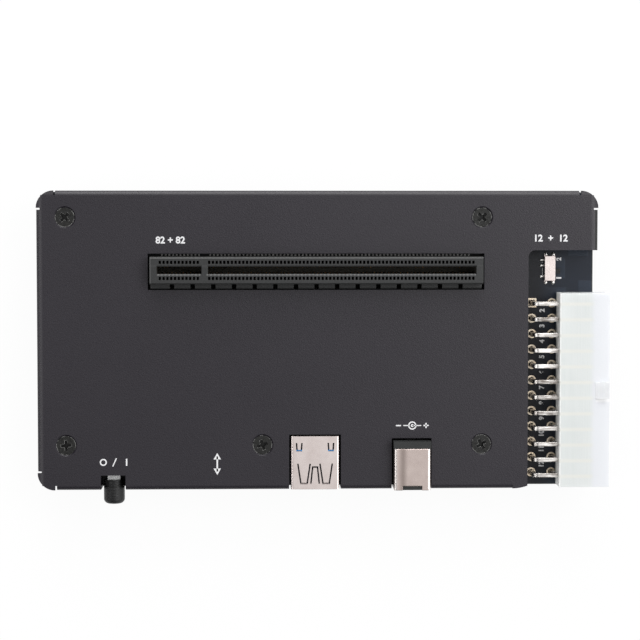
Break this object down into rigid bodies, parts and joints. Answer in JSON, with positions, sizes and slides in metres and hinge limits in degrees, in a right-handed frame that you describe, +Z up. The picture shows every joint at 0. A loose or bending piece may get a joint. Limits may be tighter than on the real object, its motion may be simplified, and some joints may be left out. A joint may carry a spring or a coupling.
{
  "type": "pcie expansion chassis",
  "caption": "Flat folded-sheet case around a circuit board, with a full-length card slot, a wide right-angle power header, data ports, a round power inlet and two switches.",
  "frame": {"origin": "middle of the whole part's footprint, on the plane that the rubber feet stand on", "axes": "+X along the card slot towards the power header, +Y from the port side towards the back, +Z up, the way an added card leaves its slot"},
  "size_m": [0.1528, 0.084, 0.0209],
  "materials": {
    "case_paint": "fine textured powder coat, satin black",
    "foot_rubber": "matt black rubber",
    "black_screws": "black oxide steel, low gloss",
    "standoff_brass": "nickel-plated brass",
    "board_laminate": "blue-black solder mask, satin",
    "slot_plastic": "glass-filled black plastic, matt",
    "contact_gold": "gold-plated spring bronze",
    "header_nylon": "milky natural nylon, slightly translucent",
    "tinned_pins": "tinned brass",
    "port_shell": "nickel-plated steel, satin",
    "port_blue": "blue moulded plastic",
    "inlet_plastic": "black moulded plastic, satin",
    "plunger_white": "white moulded plastic",
    "button_black": "black moulded plastic, satin",
    "chip_black": "moulded chip package",
    "pad_grey": "soft silicone pad",
    "spreader_aluminium": "anodised aluminium",
    "inductor_grey": "pressed iron powder",
    "can_aluminium": "drawn aluminium can",
    "ceramic_tan": "fired ceramic"
  },
  "bodies": {
    "chassis": {"cover": "case_paint", "bottom_tray": "case_paint", "rubber_feet": "foot_rubber", "cover_screws": "black_screws", "tray_screws": "black_screws", "upper_standoffs": "standoff_brass", "lower_standoffs": "standoff_brass", "circuit_board": "board_laminate", "slot_housing": "slot_plastic", "slot_contacts": "contact_gold", "header_housing": "header_nylon", "header_pins": "tinned_pins", "usb_a_shell": "port_shell", "usb_a_insulator": "port_blue", "usb_a_contacts": "contact_gold", "usb_c_shell": "port_shell", "usb_c_tongue": "inlet_plastic", "usb_c_contacts": "contact_gold", "dc_jack_body": "inlet_plastic", "dc_jack_shield": "port_shell", "dc_jack_pin": "tinned_pins", "dc_jack_spring": "tinned_pins", "power_switch_body": "inlet_plastic", "power_switch_terminals": "tinned_pins", "slide_switch_base": "inlet_plastic", "slide_switch_shell": "port_shell", "slide_switch_pins": "tinned_pins", "controller_chip": "chip_black", "thermal_pad": "pad_grey", "heat_spreader": "spreader_aluminium", "power_inductors": "inductor_grey", "bulk_capacitors": "can_aluminium", "power_transistors": "chip_black", "coupling_capacitors": "ceramic_tan", "firmware_chip": "chip_black", "power_controller_chip": "chip_black", "clock_crystal": "can_aluminium", "input_fuse": "ceramic_tan"},
    "power_button": {"power_button_cap": "button_black", "power_switch_plunger": "plunger_white"},
    "selector_knob": {"slide_switch_knob": "button_black"}
  },
  "joints": [
    {"name": "power_button_press", "type": "slide", "parent": "chassis", "child": "power_button", "axis": [0, 1, 0], "range_m": [0, 0.002], "stiffness_N_per_m": 400, "springref_m": -0.001},
    {"name": "selector_slide", "type": "slide", "parent": "chassis", "child": "selector_knob", "axis": [0, 1, 0], "range_m": [0, 0.0015]}
  ]
}
